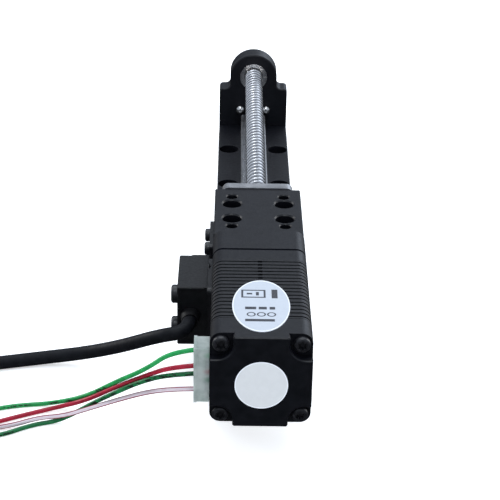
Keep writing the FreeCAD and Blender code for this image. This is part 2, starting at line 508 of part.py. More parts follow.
# ---------------------------------------------------------------- home sensor
SX0, SX1 = -17.4, -11.1
SY0, SY1 = -86.9, -71.4
SZ0, SZ1 = 10.2, 24.0
SLOT = box(-20, -10, -77.9, -70, 14.6, 19.6)
SCR = [(-84.3, 21.1), (-84.3, 13.5)]
case = box(SX0, SX1 - 0.6, SY0, SY1, SZ0, SZ1)
case = chamfer_report("sensor case", case, lambda e: on_box(e, case) and e.CenterOfMass.x < SX1 - 0.7, 0.2)
case = case.cut(box(SX0 + 0.7, SX1 - 1.0, SY0 - 1, SY0 + 0.15, SZ0 + 0.7, SZ1 - 0.7))
case = cut(case, SLOT,
           box(-16.6, -11, -86.1, -78.7, 15.3, 18.9),
           box(-16.6, -11, -80.5, -72.2, 20.4, 23.2),
           box(-16.6, -11, -80.5, -72.2, 11.0, 13.8),
           box(-16.6, -11, -80.5, -78.7, 13.0, 21.0))
lid = cut(box(SX1 - 0.6, SX1, SY0, SY1, SZ0, SZ1), SLOT)
WIN = (-75.0, -14.2)
for z0, z1 in ((19.5, 20.5), (13.7, 14.7)):
    case = case.cut(box(WIN[1] - 0.9, WIN[1] + 0.9, WIN[0] - 0.9, WIN[0] + 0.9, z0, z1))
for y, z in SCR:
    hole = cyl(1.05, (-20, y, z), (-9, y, z))
    case = case.cut(hole); lid = lid.cut(hole)
case = case.cut(cylY(CABLE_D / 2 + 0.02, SY0 - 1, SY0 + 1.5, -14.6, 17.1))
out("sensor_case", case)
out("sensor_lid", lid)
out("sensor_windows", comp([box(WIN[1] - 0.9, WIN[1] + 0.9, WIN[0] - 0.9, WIN[0] + 0.9, a, b) for a, b in ((19.6, 20.4), (13.8, 14.6))]))
out("sensor_board", box(-13.0, -12.2, -85.0, -78.9, 15.5, 18.7))
out("sensor_screws", comp([pan_screw((SX0, y, z), (-10.1, y, z), 2.0, 4.0, 1.35, 2.2) for y, z in SCR]))
gl = cone(2.1, 1.75, (-14.6, SY0, 17.1), (-14.6, SY0 - 2.4, 17.1)).cut(cylY(CABLE_D / 2 + 0.02, SY0 - 5, SY0 + 1, -14.6, 17.1))
out("cable_gland", gl)
brk = box(-11.1, -HW, -86.6, -71.1, 10.6, 23.4)
brk = fillet_edges(brk, lambda e: abs(e.CenterOfMass.x + 10.55) < 1e-6, 1.0)
for y, z in SCR:
    brk = brk.cut(cyl(1.0, (-12, y, z), (-9, y, z)))
for y, z in BRK_SCREWS:
    brk = brk.cut(csk_hole((-11.1, y, z), (-9, y, z), 1.6, 3.0))
out("sensor_bracket", brk)
out("bracket_screws", comp([csk_screw((-11.08, y, z), (-7.0, y, z), 1.6, 3.0) for y, z in BRK_SCREWS]))

# ---------------------------------------------------------------- cords
RADII = {}
def tube(name, pts, d):
    """Tube on straight runs joined by tangent arcs; prints each arc's radius."""
    P = [V(*p) for p in pts]
    edges, rads = [], []
    cur = P[0]
    length = 0.0
    for i in range(1, len(P) - 1):
        a, b, c = P[i - 1], P[i], P[i + 1]
        u = (a - b); la = u.Length; u.normalize()
        w = (c - b); lb = w.Length; w.normalize()
        t = 0.45 * min(la, lb)
        turn = math.pi - u.getAngle(w)
        r = t / math.tan(turn / 2)
        p, q = b + u * t, b + w * t
        bis = u + w; bis.normalize()
        cen = b + bis * (t / math.cos((math.pi - turn) / 2))
        m = cen - bis * r
        if (p - cur).Length > 1e-5:
            edges.append(Part.LineSegment(cur, p).toShape()); length += (p - cur).Length
        edges.append(Part.Arc(p, m, q).toShape()); length += r * turn
        rads.append(round(r, 1))
        cur = q
    edges.append(Part.LineSegment(cur, P[-1]).toShape()); length += (P[-1] - cur).Length
    w = Part.Wire(edges)
    d0 = P[1] - P[0]; d0.normalize()
    prof = Part.Wire([Part.Circle(P[0], d0, d / 2).toShape()])
    s = w.makePipeShell([prof], True, False)
    if s.Volume < 0:
        s.reverse()
    k = s.Volume / (math.pi * d * d / 4 * length)
    print("cord", name, "radii_mm", rads, "min", min(rads), "length_mm", round(length, 1), "volume/expected", round(k, 4), "valid", s.isValid())
    return s

CABLE_LEAD = [(-14.6, -86.8, 17.1), (-14.6, -93.6, 17.1), (-21.0, -94.0, 16.2), (-29.0, -85.3, 8.8), (-37.5, -78.6, 3.1), (-48.5, -78.6, 1.5), (-60.0, -81.7, 1.5), (-72.0, -83.7, 1.5), (-82.0, -84.0, 1.5)]
CC = (-84.0, -66.0)      # sensor cable coil centre
CABLE_TAIL = [(-100.5, -64.0, 4.3), (-100.9, -56.0, 4.2), (-100.4, -48.0, 1.7), (-100.0, -41.0, 1.6)]
out("sensor_cable", comp([tube("sensor_cable lead", CABLE_LEAD, CABLE_D), tube("sensor_cable tail", CABLE_TAIL, CABLE_D)]))
ring = lambda r0, r1, z0, z1, c: cyl(r1, (c[0], c[1], z0), (c[0], c[1], z1)).cut(cyl(r0, (c[0], c[1], z0 - 1), (c[0], c[1], z1 + 1)))
out("sensor_cable_coil", fuse(ring(10.5, 19.5, 0.0, 3.05, CC), ring(12.0, 18.0, 3.0, 5.7, CC)))
tie = cut(box(CC[0] + 9.9, CC[0] + 20.1, CC[1] - 1.2, CC[1] + 1.2, 0.0, 6.3), box(CC[0] + 10.4, CC[0] + 19.6, CC[1] - 2, CC[1] + 2, -1, 3.15), box(CC[0] + 11.9, CC[0] + 18.1, CC[1] - 2, CC[1] + 2, -1, 5.75))
tie = cut(tie, box(CC[0] + 9, CC[0] + 11.4, CC[1] - 2, CC[1] + 2, 3.65, 9), box(CC[0] + 18.6, CC[0] + 21, CC[1] - 2, CC[1] + 2, 3.65, 9))
out("cable_tie", tie)
cp = rrect(-103.6, -96.4, 0.0, 5.2, -41.0, -29.0, 0.6)
cp = cut(cp, *[box(-102.4 + 1.6 * i, -101.4 + 1.6 * i, -31.5, -28, 2.1, 3.1) for i in range(4)])
out("cable_connector", cp)

WC = (-72.0, -116.0)     # motor wire coil centre
WIRES = {
    "wire_green": ([(-10.6, PY, 24.95), (-17.2, -115.1, 24.7), (-22.6, -113.0, 19.2), (-29.0, -104.8, 11.5), (-36.0, -98.2, 3.8), (-43.5, -95.9, 0.5), (-51.5, -96.9, 0.5), (-59.0, -99.9, 0.5), (-66.5, -103.2, 0.5)], 12.7, 0),
    "wire_red": ([(-10.6, PY, 21.35), (-17.4, -115.1, 21.1), (-22.7, -111.5, 16.9), (-29.3, -104.9, 10.2), (-36.2, -99.2, 3.3), (-42.8, -97.6, 0.5), (-50.0, -101.1, 0.5), (-57.5, -105.3, 0.5), (-66.0, -104.3, 0.5)], 11.7, 1),
    "wire_white": ([(-10.6, PY, 15.95), (-17.6, -114.2, 15.5), (-23.0, -110.2, 12.2), (-29.2, -105.0, 7.1), (-36.0, -102.9, 3.4), (-40.5, -103.2, 2.0), (-45.5, -103.3, 1.6), (-51.5, -105.2, 0.6), (-58.5, -106.7, 0.5), (-66.0, -105.3, 0.5)], 10.7, 2),
    "wire_dark_green": ([(-10.6, PY, 19.55), (-18.0, -114.7, 19.1), (-23.6, -111.9, 15.8), (-29.2, -106.0, 9.6), (-35.0, -101.7, 4.0), (-41.0, -102.6, 0.5), (-47.0, -104.4, 0.5), (-53.0, -108.8, 0.5), (-60.0, -109.4, 0.5), (-66.5, -106.6, 0.5)], 9.7, 3),
}
WPLUG_Y = [-101.8, -103.8, -105.8, -107.8]
for n, (pts, r, i) in WIRES.items():
    tail = [(-73.5, WC[1] + r, 3.55), (-79.0, WC[1] + r + 0.3 * (1.5 - i), 3.4), (-84.5, (WC[1] + r + WPLUG_Y[i]) / 2 + 0.3 * (1.5 - i), 2.0), (-90.0, WPLUG_Y[i], 1.3)]
    out(n, comp([tube(n + " lead", pts, WIRE_D), tube(n + " tail", tail, WIRE_D)]))
out("wire_coil", ring(9.2, 13.2, 0.0, 3.0, WC))
wt = cut(box(WC[0] - 1.0, WC[0] + 1.0, WC[1] - 13.7, WC[1] - 8.7, 0.0, 3.5), box(WC[0] - 2, WC[0] + 2, WC[1] - 13.25, WC[1] - 9.15, -1, 3.05))
out("wire_tie", wt)
wp = fillet_edges(box(-103.0, -90.0, -109.0, -100.6, 0.0, 2.6), lambda e: e.Length < 3, 0.3)
wp = cut(wp, *[box(-104, -98, y - 0.35, y + 0.35, 0.95, 1.65) for y in WPLUG_Y])
out("wire_connector", wp)

# ---------------------------------------------------------------- write
tot = 0
for n, s in NODES.items():
    if not s.Solids:
        print("NO SOLID", n)
    bad = [i for i, x in enumerate(s.Solids) if not x.isValid() or x.Volume <= 0]
    if bad:
        print("BAD", n, bad)
    s.exportStep("parts/%s.step" % n)
    tot += len(s.Solids)
try:
    bb = Part.makeCompound(list(NODES.values())).optimalBoundingBox(False)
except Exception:
    bb = Part.makeCompound(list(NODES.values())).BoundBox
print("nodes", len(NODES), "solids", tot, "bbox", [round(v, 2) for v in (bb.XMin, bb.XMax, bb.YMin, bb.YMax, bb.ZMin, bb.ZMax)])
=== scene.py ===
import json
import math

import bpy
from mathutils import Matrix, Vector


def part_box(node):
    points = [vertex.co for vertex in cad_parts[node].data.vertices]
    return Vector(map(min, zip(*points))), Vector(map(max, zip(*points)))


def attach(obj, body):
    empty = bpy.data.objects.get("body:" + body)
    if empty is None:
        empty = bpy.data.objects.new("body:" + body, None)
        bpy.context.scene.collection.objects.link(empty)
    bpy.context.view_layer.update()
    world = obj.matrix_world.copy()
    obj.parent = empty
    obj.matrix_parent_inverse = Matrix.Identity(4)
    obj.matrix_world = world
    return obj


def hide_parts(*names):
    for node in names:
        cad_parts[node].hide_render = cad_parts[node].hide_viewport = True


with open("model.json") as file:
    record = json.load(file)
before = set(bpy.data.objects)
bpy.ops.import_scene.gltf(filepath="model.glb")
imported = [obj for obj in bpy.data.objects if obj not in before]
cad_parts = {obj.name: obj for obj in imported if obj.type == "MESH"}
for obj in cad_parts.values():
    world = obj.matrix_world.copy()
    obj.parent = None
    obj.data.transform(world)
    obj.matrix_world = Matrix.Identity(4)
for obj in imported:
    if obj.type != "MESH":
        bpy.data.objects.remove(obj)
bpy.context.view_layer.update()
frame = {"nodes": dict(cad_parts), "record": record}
N = frame["nodes"]
scene = bpy.context.scene
MM = 0.001

# ---------------------------------------------------------------- camera
cam_data = bpy.data.cameras.new("camera")
cam_data.lens = 111.36
cam_data.sensor_width = 36.0
cam_data.clip_start = 0.02
cam_data.clip_end = 20.0
cam = bpy.data.objects.new("camera", cam_data)
scene.collection.objects.link(cam)
R = Vector((0.99980925, -0.00595033, 0.01860266))
D = Vector((0.01411255, -0.43834373, -0.89869662))
F = Vector((0.0135019, 0.89878772, -0.43817614))
m = Matrix.Identity(4)
for i in range(3):
    m[i][0], m[i][1], m[i][2] = R[i], -D[i], -F[i]
m[0][3], m[1][3], m[2][3] = -0.006519, -0.377097, 0.174477
cam.matrix_world = m
scene.camera = cam
scene.view_settings.view_transform = "Standard"
scene.view_settings.look = "None"


# ---------------------------------------------------------------- cords
def nurbs(name, pts, diameter):
    """A free cord: one open NURBS spline through control points in millimetres."""
    cu = bpy.data.curves.new(name, "CURVE")
    cu.dimensions = "3D"
    sp = cu.splines.new("NURBS")
    sp.points.add(len(pts) - 1)
    for p, q in zip(sp.points, pts):
        p.co = (q[0] * MM, q[1] * MM, q[2] * MM, 1.0)
        p.radius = diameter * MM / 2
    sp.order_u = 3
    sp.use_endpoint_u = True
    sp.resolution_u = 8
    cu.bevel_depth = 1.0
    cu.bevel_resolution = 6
    cu.use_fill_caps = True
    cu.resolution_u = 8
    ob = bpy.data.objects.new(name, cu)
    scene.collection.objects.link(ob)
    return ob


def ramp(x, a, b):
    t = min(1.0, max(0.0, (x - a) / (b - a)))
    return t * t * (3 - 2 * t)


CIRC = 0.966
CABLE_D = 3.0
WIRE_D = 0.95
CABLE_LEAD = [(-14.6, -86.8, 17.1), (-14.6, -93.6, 17.1), (-21.0, -94.0, 16.2), (-29.0, -85.3, 8.8), (-37.5, -78.6, 3.1), (-48.5, -78.6, 1.5), (-60.0, -81.7, 1.5), (-72.0, -83.7, 1.5), (-82.0, -84.0, 1.5)]
CC = (-84.0, -66.0)
CABLE_TAIL = [(-100.5, -64.0, 4.3), (-100.9, -56.0, 4.2), (-100.4, -48.0, 1.7), (-100.0, -41.0, 1.6)]


def cable_coil():
    """Three turns on the floor from the outside in, then back out on top of them, clockwise seen from above."""
    pts = []
    for k in range(51):
        deg = 15.0 + 30.0 * k                  # travelled since the -Y side
        if deg < 1080:                          # bottom layer
            turn, part = divmod(deg, 360.0)
            r = 18.0 - 3.0 * turn - (3.0 * ramp(part, 292, 360) if turn < 2 else 0.0)
            z = 1.5 + 3.0 * ramp(deg, 930, 1070)
            if turn == 2:
                r += 0.4 * ramp(deg, 1020, 1080)
        else:                                   # top layer
            r = 12.4 + 1.1 * ramp(deg, 1080, 1130) + 3.0 * ramp(deg, 1240, 1350)
            z = 4.5 - 0.35 * ramp(deg, 1090, 1150) + 0.35 * ramp(deg, 1240, 1280) - 0.35 * ramp(deg, 1340, 1360) + 0.35 * ramp(deg, 1370, 1390) - 0.35 * ramp(deg, 1440, 1480)
        a = math.radians(-90.0 - deg)
        pts.append((CC[0] + r / CIRC * math.cos(a), CC[1] + r / CIRC * math.sin(a), z))
    return pts


WC = (-72.0, -116.0)
WPLUG_Y = [-101.8, -103.8, -105.8, -107.8]
WIRES = {
    "wire_green": ([(-10.6, -114.6, 24.95), (-17.2, -115.1, 24.7), (-22.6, -113.0, 19.2), (-29.0, -104.8, 11.5), (-36.0, -98.2, 3.8), (-43.5, -95.9, 0.5), (-51.5, -96.9, 0.5), (-59.0, -99.9, 0.5), (-66.5, -103.2, 0.5)], 12.7, 0),
    "wire_red": ([(-10.6, -114.6, 21.35), (-17.4, -115.1, 21.1), (-22.7, -111.5, 16.9), (-29.3, -104.9, 10.2), (-36.2, -99.2, 3.3), (-42.8, -97.6, 0.5), (-50.0, -101.1, 0.5), (-57.5, -105.3, 0.5), (-66.0, -104.3, 0.5)], 11.7, 1),
    "wire_white": ([(-10.6, -114.6, 15.95), (-17.6, -114.2, 15.5), (-23.0, -110.2, 12.2), (-29.2, -105.0, 7.1), (-36.0, -102.9, 3.4), (-40.5, -103.2, 2.0), (-45.5, -103.3, 1.6), (-51.5, -105.2, 0.6), (-58.5, -106.7, 0.5), (-66.0, -105.3, 0.5)], 10.7, 2),
    "wire_dark_green": ([(-10.6, -114.6, 19.55), (-18.0, -114.7, 19.1), (-23.6, -111.9, 15.8), (-29.2, -106.0, 9.6), (-35.0, -101.7, 4.0), (-41.0, -102.6, 0.5), (-47.0, -104.4, 0.5), (-53.0, -108.8, 0.5), (-60.0, -109.4, 0.5), (-66.5, -106.6, 0.5)], 9.7, 3),
}


def wire_coil(r):
    """Three turns, each a wire's thickness above the last, anticlockwise seen from above from the +Y side."""
    pts = []
    for k in range(36):
        deg = 15.0 + 30.0 * k
        z = 0.5 + ramp(deg, 240, 292) + ramp(deg, 600, 652) + ramp(deg, 960, 1012)
        a = math.radians(90.0 + deg)
        pts.append((WC[0] + r / CIRC * math.cos(a), WC[1] + r / CIRC * math.sin(a), z))
    return pts


cable = nurbs("sensor_cable_sheath", CABLE_LEAD + cable_coil() + CABLE_TAIL, CABLE_D)
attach(cable, "base")
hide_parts("sensor_cable", "sensor_cable_coil")

wires = {}
for name, (lead, r, i) in WIRES.items():
    tail = [(-73.5, WC[1] + r, 3.55), (-79.0, WC[1] + r + 0.3 * (1.5 - i), 3.4), (-84.5, (WC[1] + r + WPLUG_Y[i]) / 2 + 0.3 * (1.5 - i), 2.0), (-90.0, WPLUG_Y[i], 1.3)]
    w = nurbs(name + "_insulation", lead + wire_coil(r) + tail, WIRE_D)
    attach(w, "base")
    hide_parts(name)
    wires[name] = w
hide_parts("wire_coil")


# ---------------------------------------------------------------- lead screw
AXZ = 20.0
PITCH, MAJOR, ROOT, SHAFT = 2.0, 2.5, 1.95, 2.0
THR0, THR1, S0, S1 = -78.4, 56.1, -115.6, 61.5
SEG = 48
GROOVE = 0.25            # groove centre at the top of the screw, in pitches from the thread's start


def lead_screw():
    """Plain journals and a right-handed thread, as rings of points about the axis."""
    verts, faces = [], []

    def at(k, y, r):
        a = 2 * math.pi * k / SEG
        verts.append((r * math.sin(a) * MM, y * MM, (AXZ + r * math.cos(a)) * MM))

    def ring(y, r):
        for k in range(SEG):
            at(k, y, r)
        return len(verts) - SEG

    def lathe(rows):
        ids = [ring(y, r) for y, r in rows]
        for a, b in zip(ids, ids[1:]):
            for k in range(SEG):
                n = (k + 1) % SEG
                faces.append((a + k, b + k, b + n, a + n))
        faces.append(tuple(range(ids[0], ids[0] + SEG)))
        faces.append(tuple(reversed(range(ids[-1], ids[-1] + SEG))))

    # the shaft runs through, with the clip's groove and chamfered ends
    lathe([(S0, SHAFT - 0.3), (S0 + 0.3, SHAFT), (-100.0, SHAFT), (THR0 + 0.1, SHAFT), (THR0 + 0.11, ROOT - 0.05), (THR1 - 0.11, ROOT - 0.05), (THR1 - 0.1, SHAFT),
           (59.7, SHAFT), (59.71, 1.7), (60.24, 1.7), (60.25, SHAFT), (S1 - 0.3, SHAFT), (S1, SHAFT - 0.3)])

    # the thread: one strip of the section's stations wound along a helix, its ends clamped to the end faces
    prof = [(-0.69, MAJOR), (-0.62, MAJOR - 0.05), (-0.585, MAJOR - 0.1), (-0.39, ROOT + 0.07), (-0.34, ROOT), (0.34, ROOT), (0.39, ROOT + 0.07), (0.585, MAJOR - 0.1), (0.62, MAJOR - 0.05), (0.69, MAJOR)]
    cols = []
    turns = (THR1 - THR0) / PITCH + 3.0
    for c in range(int(turns * SEG) + 1):
        cy = THR0 - 3.0 + PITCH * (c / SEG + GROOVE)
        first = len(verts)
        for off, r in prof:
            y = cy + off
            if y < THR0:
                y, r = THR0, (ROOT if y < THR0 - 0.05 else r)
            if y > THR1:
                y, r = THR1, (ROOT if y > THR1 + 0.05 else r)
            at(c, y, r)
        cols.append(first)
    m = len(prof)
    for c in range(len(cols) - 1):
        for k in range(m - 1):
            a, b = cols[c] + k, cols[c + 1] + k
            faces.append((a, a + 1, b + 1, b))
        if c + SEG + 1 < len(cols):             # the crest between one turn's groove and the next turn's
            a, b = cols[c] + m - 1, cols[c + 1] + m - 1
            p, q = cols[c + SEG], cols[c + SEG + 1]
            faces.append((a, p, q, b))
    me = bpy.data.meshes.new("lead_screw_fine")
    me.from_pydata(verts, [], faces)
    me.validate()
    me.update()
    for p in me.polygons:
        p.use_smooth = len(p.vertices) < 5
    ob = bpy.data.objects.new("lead_screw_fine", me)
    scene.collection.objects.link(ob)
    ob.modifiers.new("edges", "EDGE_SPLIT").split_angle = math.radians(28)
    return ob


screw = lead_screw()
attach(screw, "rotor")
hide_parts("lead_screw")


# ---------------------------------------------------------------- material graph helper
class G:
    """A small node graph builder for one procedural material."""

    def __init__(self, name, metallic=0.0, **fixed):
        self.m = bpy.data.materials.new(name)
        self.m.use_nodes = True
        self.t = self.m.node_tree
        self.b = next(n for n in self.t.nodes if n.type == "BSDF_PRINCIPLED")
        self.b.inputs["Metallic"].default_value = metallic
        for k, v in fixed.items():
            self.b.inputs[k.replace("_", " ")].default_value = v
        self.tc = self.t.nodes.new("ShaderNodeTexCoord")
        self.pos = self.tc.outputs["Object"]
        self.h = []

    def node(self, kind, **props):
        n = self.t.nodes.new(kind)
        for k, v in props.items():
            setattr(n, k, v)
        return n

    def link(self, a, b):
        self.t.links.new(a, b)

    def scaled(self, sx, sy, sz, off=(0, 0, 0)):
        n = self.node("ShaderNodeMapping")
        self.link(self.pos, n.inputs["Vector"])
        n.inputs["Scale"].default_value = (sx, sy, sz)
        n.inputs["Location"].default_value = off
        return n.outputs["Vector"]

    def noise(self, scale, detail=3.0, rough=0.5, vec=None, distortion=0.0):
        n = self.node("ShaderNodeTexNoise")
        self.link(vec or self.pos, n.inputs["Vector"])
        n.inputs["Scale"].default_value = scale
        n.inputs["Detail"].default_value = detail
        n.inputs["Roughness"].default_value = rough
        n.inputs["Distortion"].default_value = distortion
        return n.outputs["Fac"]

    def voronoi(self, scale, feature="F1", vec=None):
        n = self.node("ShaderNodeTexVoronoi", feature=feature)
        self.link(vec or self.pos, n.inputs["Vector"])
        n.inputs["Scale"].default_value = scale
        return n.outputs["Distance"]

    def math(self, op, a, b=None, c=None):
        n = self.node("ShaderNodeMath", operation=op)
        for i, v in enumerate((a, b, c)):
            if v is None:
                continue
            if isinstance(v, (int, float)):
                n.inputs[i].default_value = v
            else:
                self.link(v, n.inputs[i])
        return n.outputs[0]

    def xyz(self, vec=None):
        n = self.node("ShaderNodeSeparateXYZ")
        self.link(vec or self.pos, n.inputs[0])
        return n.outputs[0], n.outputs[1], n.outputs[2]

    def normal(self):
        return self.xyz(self.tc.outputs["Normal"])

    def range(self, v, a, b, c, d, smooth=True):
        n = self.node("ShaderNodeMapRange", interpolation_type="SMOOTHSTEP" if smooth else "LINEAR")
        self.link(v, n.inputs["Value"])
        for k, x in zip(("From Min", "From Max", "To Min", "To Max"), (a, b, c, d)):
            n.inputs[k].default_value = x
        return n.outputs[0]

    def mix(self, fac, a, b):
        n = self.node("ShaderNodeMix", data_type="RGBA")
        ins = [s for s in n.inputs if s.enabled]
        f, x, y = ins[0], ins[1], ins[2]
        if isinstance(fac, (int, float)):
            f.default_value = fac
        else:
            self.link(fac, f)
        for s, v in ((x, a), (y, b)):
            if isinstance(v, (tuple, list)):
                s.default_value = (*v[:3], 1.0)
            else:
                self.link(v, s)
        return next(o for o in n.outputs if o.enabled)

    def colour(self, out):
        self.link(out, self.b.inputs["Base Color"])

    def rough(self, out):
        self.link(out, self.b.inputs["Roughness"])

    def bump(self, height, distance, strength=1.0):
        n = self.node("ShaderNodeBump")
        n.inputs["Strength"].default_value = strength
        n.inputs["Distance"].default_value = distance
        self.link(height, n.inputs["Height"])
        if self.h:
            self.link(self.h[-1], n.inputs["Normal"])
        self.h.append(n.outputs["Normal"])
        self.link(n.outputs["Normal"], self.b.inputs["Normal"])


def painted_joint_shade(g, y0, half):
    """Painted shade along a joint: fades the sheen out close to the plane y0, so the surfaces go dark there."""
    x, y, z = g.xyz()
    # sheen drops to nothing near the joint plane: painted shade in the groove
    sheen_off_at_joint = g.range(g.math("ABSOLUTE", g.math("SUBTRACT", y, y0 * MM)), half * 0.75 * MM, half * MM, 0.0, 0.24)
    g.link(sheen_off_at_joint, g.b.inputs["Specular IOR Level"])


def black_anodised(name, dark, light, r0, r1, joint=None):
    g = G(name, Specular_IOR_Level=0.24)
    if joint:
        painted_joint_shade(g, *joint)
    cloud = g.noise(260, 4, 0.6)
    fine = g.noise(5200, 2, 0.6)
    speck = g.range(g.voronoi(5200), 0.05, 0.42, 1.0, 0.0)
    both = g.math("ADD", g.math("MULTIPLY", cloud, 0.65), g.math("MULTIPLY", fine, 0.35))
    g.colour(g.mix(g.range(both, 0.35, 0.65, 0, 1), dark, light))
    g.rough(g.range(g.noise(1100, 4, 0.6), 0.3, 0.7, r0, r1))
    g.bump(g.math("ADD", fine, g.math("MULTIPLY", speck, 0.35)), 1.3e-5, 0.5)
    lines = g.noise(1.0, 2, 0.5, vec=g.scaled(5200, 120, 5200))
    g.bump(lines, 5e-6, 0.35)
    return g.m


def painted(name, dark, light, r0, r1, joint=None):
    g = G(name, Specular_IOR_Level=0.24)
    if joint:
        painted_joint_shade(g, *joint)
    g.colour(g.mix(g.range(g.noise(420, 4, 0.6), 0.35, 0.65, 0, 1), dark, light))
    g.rough(g.range(g.noise(900, 3, 0.6), 0.3, 0.7, r0, r1))
    g.bump(g.noise(2600, 2, 0.5), 2.2e-5, 0.35)
    g.bump(g.noise(9000, 2, 0.5), 6e-6, 0.4)
    return g.m


def laminated(name):
    """Stack of thin painted sheets along Y, with fainter lines between the ribs."""
    g = G(name, Specular_IOR_Level=0.24)
    x, y, z = g.xyz()
    wob = g.math("MULTIPLY", g.math("SUBTRACT", g.noise(700, 3, 0.6), 0.5), 0.00008)
    ph = g.math("MULTIPLY", g.math("ADD", y, wob), 2 * math.pi / 0.0005)
    line = g.range(g.math("SINE", ph), 0.55, 1.0, 0.0, 1.0)
    base = g.mix(g.range(g.noise(500, 4, 0.65, vec=g.scaled(1, 2.5, 1)), 0.35, 0.68, 0, 1), (0.0032, 0.0034, 0.0050), (0.0075, 0.0078, 0.0105))
    g.colour(g.mix(g.math("MULTIPLY", line, 0.4), base, (0.002, 0.002, 0.0025)))
    g.rough(g.range(g.noise(1400, 3, 0.6), 0.3, 0.7, 0.38, 0.55))
    g.bump(g.math("SUBTRACT", 1.0, line), 1.4e-5, 0.5)
    g.bump(g.noise(6000, 2, 0.5), 1e-5, 0.4)
    return g.m


def steel(name, lo, hi, r0, r1, stretch=(6500, 90, 6500), lines=6e-6, blot=0.0, aniso=0.0):
    g = G(name, metallic=1.0)
    scr = g.noise(1.0, 3, 0.6, vec=g.scaled(*stretch))
    cloud = g.noise(350, 4, 0.6)
    f = g.math("ADD", g.math("MULTIPLY", scr, 0.5), g.math("MULTIPLY", cloud, 0.5))
    col = g.mix(g.range(f, 0.33, 0.67, 0, 1), lo, hi)
    if blot:
        col = g.mix(g.math("MULTIPLY", g.range(g.noise(900, 5, 0.7), 0.6, 0.8, 0, 1), blot), col, tuple(c * 0.35 for c in lo))
    g.colour(col)
    g.rough(g.range(f, 0.3, 0.7, r0, r1))
    g.bump(scr, lines, 0.5)
    return g.m


def threaded(name):
    """Ground thread: bright crests, painted shade in the grooves, fine turning lines."""
    g = G(name, metallic=1.0)
    x, y, z = g.xyz()
    zz = g.math("SUBTRACT", z, AXZ * MM)
    r = g.math("MULTIPLY", g.math("SQRT", g.math("ADD", g.math("MULTIPLY", x, x), g.math("MULTIPLY", zz, zz))), 1000.0)
    inside = g.math("MULTIPLY", g.range(y, THR0 * MM - 0.0003, THR0 * MM, 0.0, 1.0), g.range(y, THR1 * MM, THR1 * MM + 0.0003, 1.0, 0.0))
    groove = g.math("MULTIPLY", g.range(r, ROOT + 0.03, MAJOR - 0.04, 1.0, 0.0), inside)
    cloud = g.noise(700, 4, 0.6)
    crest = g.mix(g.range(cloud, 0.35, 0.65, 0, 1), (0.62, 0.62, 0.64), (0.70, 0.70, 0.71))
    # painted shade: near-black colour towards the thread's root
    groove_shade_colour = g.mix(g.range(cloud, 0.35, 0.65, 0, 1), (0.035, 0.035, 0.042), (0.07, 0.07, 0.08))
    g.colour(g.mix(groove, crest, groove_shade_colour))
    g.rough(g.range(cloud, 0.3, 0.7, 0.2, 0.28))
    g.bump(g.noise(1.0, 2, 0.5, vec=g.scaled(400, 9000, 400)), 1.5e-6, 0.4)
    return g.m


def black_oxide(name, r0=0.3, r1=0.48):
    g = G(name, metallic=0.0, Specular_IOR_Level=0.4)
    g.colour(g.mix(g.range(g.noise(1500, 4, 0.65), 0.35, 0.68, 0, 1), (0.0035, 0.0035, 0.005), (0.011, 0.011, 0.014)))
    g.rough(g.range(g.noise(2400, 3, 0.6), 0.3, 0.7, r0, r1))
    g.bump(g.noise(7000, 3, 0.6), 1e-5, 0.4)
    return g.m


def plastic(name, dark, light, r0, r1, grain=6000, depth=2e-5, spec=0.45, **kw):
    g = G(name, Specular_IOR_Level=spec, **kw)
    g.colour(g.mix(g.range(g.noise(600, 4, 0.6), 0.35, 0.65, 0, 1), dark, light))
    g.rough(g.range(g.noise(1500, 3, 0.6), 0.3, 0.7, r0, r1))
    g.bump(g.noise(grain, 3, 0.6), depth, 0.45)
    return g.m


def nylon(name):
    """Translucent moulded nylon: cloudy, slightly green, light passes part way in."""
    g = G(name, Specular_IOR_Level=0.5, Transmission_Weight=0.45, Subsurface_Weight=0.3, Subsurface_Scale=0.0012, IOR=1.5)
    g.b.inputs["Subsurface Radius"].default_value = (0.9, 1.0, 0.9)
    x, y, z = g.xyz()
    col = g.mix(g.range(g.noise(430, 4, 0.6), 0.33, 0.67, 0, 1), (0.38, 0.445, 0.415), (0.58, 0.63, 0.60))
    for z0, tint in ((21.35, (0.34, 0.05, 0.07)), (19.55, (0.05, 0.22, 0.11)), (24.95, (0.06, 0.30, 0.13))):
        u = g.math("DIVIDE", g.math("ADD", x, 9.9 * MM), 1.5 * MM)
        w = g.math("DIVIDE", g.math("SUBTRACT", z, z0 * MM), 0.75 * MM)
        d = g.math("SQRT", g.math("ADD", g.math("MULTIPLY", u, u), g.math("MULTIPLY", w, w)))
        col = g.mix(g.range(d, 0.15, 1.25, 0.58, 0.0), col, tint)
    g.colour(col)
    g.rough(g.range(g.noise(1300, 3, 0.6), 0.3, 0.7, 0.3, 0.45))
    g.bump(g.noise(2800, 3, 0.5), 2e-5, 0.35)
    return g.m


